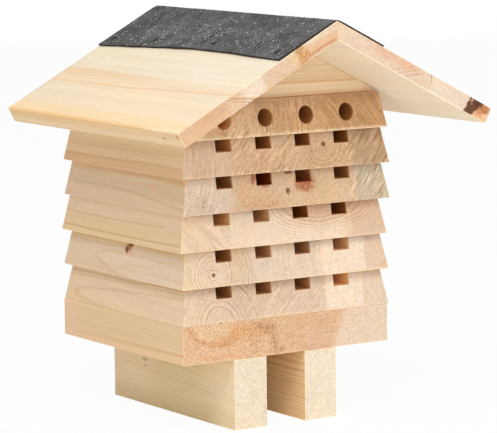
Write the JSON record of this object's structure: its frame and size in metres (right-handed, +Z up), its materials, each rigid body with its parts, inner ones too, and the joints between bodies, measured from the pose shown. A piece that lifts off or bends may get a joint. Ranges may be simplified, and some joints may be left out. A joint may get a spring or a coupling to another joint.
{
  "type": "bee hotel",
  "caption": "Wooden bee hotel: a stack of bevelled trays with square nesting grooves, a drilled top block, a pitched roof with felt on the ridge, and two runners.",
  "frame": {"origin": "on the ground, below the middle of the roof's outline", "axes": "+Z up, the front with the nest openings faces -Y, +X to the right seen from the front"},
  "size_m": [0.2034, 0.1816, 0.227],
  "materials": {
    "tray_wood": "sawn and planed pale softwood, bare",
    "top_block_wood": "sawn darker softwood, bare",
    "base_wood": "planed orange-tan softwood, bare",
    "leg_wood": "planed cream softwood, bare",
    "gable_wood": "planed pale softwood, bare",
    "roof_wood": "planed very pale softwood, bare",
    "roofing_felt": "bitumen felt with mineral granules",
    "nail_steel": "plain steel",
    "felt_nail_steel": "dark galvanised steel"
  },
  "bodies": {
    "root": {"left_leg": "leg_wood", "right_leg": "leg_wood", "base_board": "base_wood", "tray_5": "tray_wood", "tray_4": "tray_wood", "tray_3": "tray_wood", "tray_2": "tray_wood", "tray_1": "tray_wood", "drilled_top_block": "top_block_wood", "front_gable_board": "gable_wood", "rear_gable_board": "gable_wood", "left_roof_board": "roof_wood", "right_roof_board": "roof_wood", "roofing_felt": "roofing_felt", "left_leg_screw_1": "nail_steel", "left_leg_screw_2": "nail_steel", "left_roof_nail_front": "nail_steel", "left_roof_nail_rear": "nail_steel", "left_felt_nail_1": "felt_nail_steel", "left_felt_nail_2": "felt_nail_steel", "left_felt_nail_3": "felt_nail_steel", "left_felt_nail_4": "felt_nail_steel", "right_leg_screw_1": "nail_steel", "right_leg_screw_2": "nail_steel", "right_roof_nail_front": "nail_steel", "right_roof_nail_rear": "nail_steel", "right_felt_nail_1": "felt_nail_steel", "right_felt_nail_2": "felt_nail_steel", "right_felt_nail_3": "felt_nail_steel", "right_felt_nail_4": "felt_nail_steel", "tray_5_nail_1": "nail_steel", "tray_5_nail_2": "nail_steel", "tray_4_nail_1": "nail_steel", "tray_4_nail_2": "nail_steel", "tray_3_nail_1": "nail_steel", "tray_3_nail_2": "nail_steel", "tray_2_nail_1": "nail_steel", "tray_2_nail_2": "nail_steel", "tray_1_nail_1": "nail_steel", "tray_1_nail_2": "nail_steel", "top_block_nail_1": "nail_steel", "top_block_nail_2": "nail_steel", "front_gable_nail_1": "nail_steel", "front_gable_nail_2": "nail_steel", "rear_gable_nail_1": "nail_steel", "rear_gable_nail_2": "nail_steel"}
  },
  "joints": []
}
